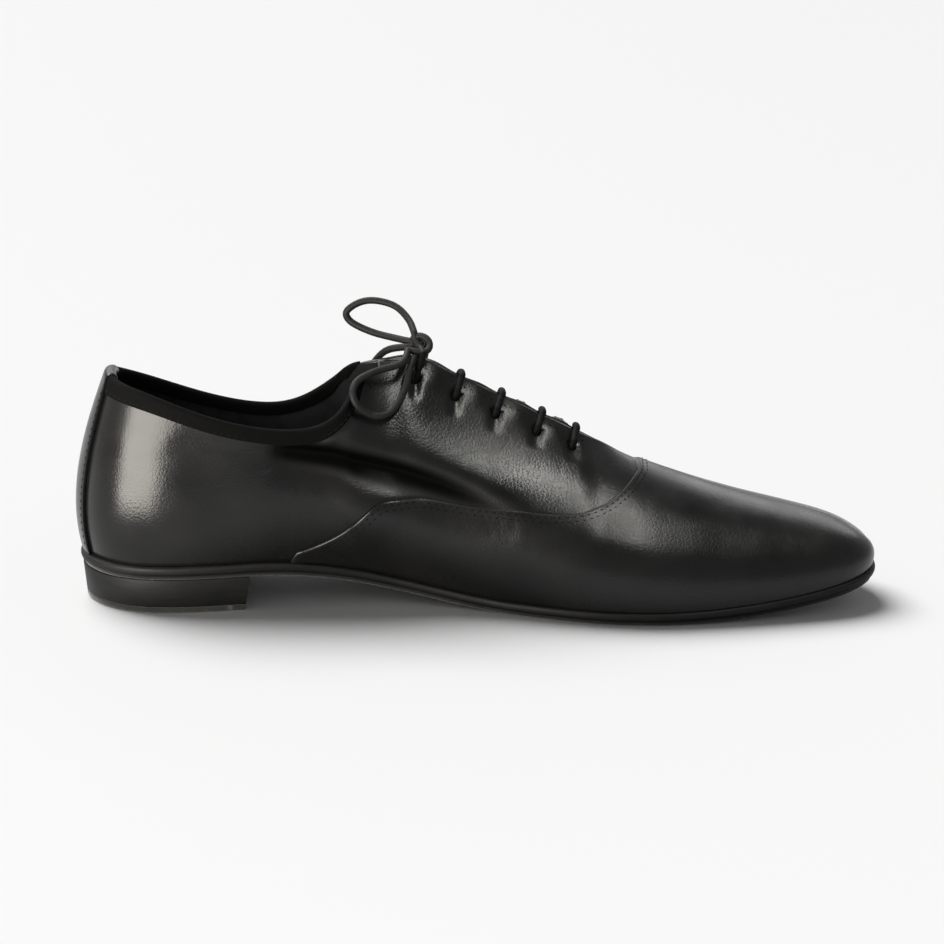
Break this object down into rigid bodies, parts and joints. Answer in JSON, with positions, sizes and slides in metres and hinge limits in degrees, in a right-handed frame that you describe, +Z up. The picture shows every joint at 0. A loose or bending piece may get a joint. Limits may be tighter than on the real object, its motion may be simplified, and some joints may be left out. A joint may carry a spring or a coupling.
{
  "type": "dance shoe",
  "caption": "Low lace-up dance oxford for the left foot: soft black leather upper, vamp lapped over the quarters, thin suede sole and low heel.",
  "frame": {"origin": "on the floor, under the middle of the heel", "axes": "+X to the toe, +Y to the outer side of the left foot, +Z up"},
  "size_m": [0.2934, 0.1062, 0.1063],
  "materials": {
    "black_leather": "smooth satin",
    "collar_band": "dull bound edge",
    "black_lining": "matt",
    "black_suede": "brushed nap",
    "sole_edge": "dyed and polished",
    "waxed_lace": "waxed cord"
  },
  "bodies": {
    "root": {"upper": "black_leather", "backstay": "black_leather", "tongue": "black_leather", "collar_band_medial": "collar_band", "collar_band_lateral": "collar_band", "insole": "black_lining", "suede_outsole": "black_suede", "heel_top_piece": "black_suede", "sole_board": "sole_edge", "heel_block": "sole_edge", "lace_lead_medial": "waxed_lace", "lace_lead_lateral": "waxed_lace", "lace_bar_1": "waxed_lace", "lace_bar_2": "waxed_lace", "lace_bar_3": "waxed_lace", "lace_bar_4": "waxed_lace", "lace_knot": "waxed_lace", "lace_loop_upright": "waxed_lace", "lace_loop_drooping": "waxed_lace", "lace_end_back": "waxed_lace", "lace_end_lateral": "waxed_lace"}
  },
  "joints": []
}
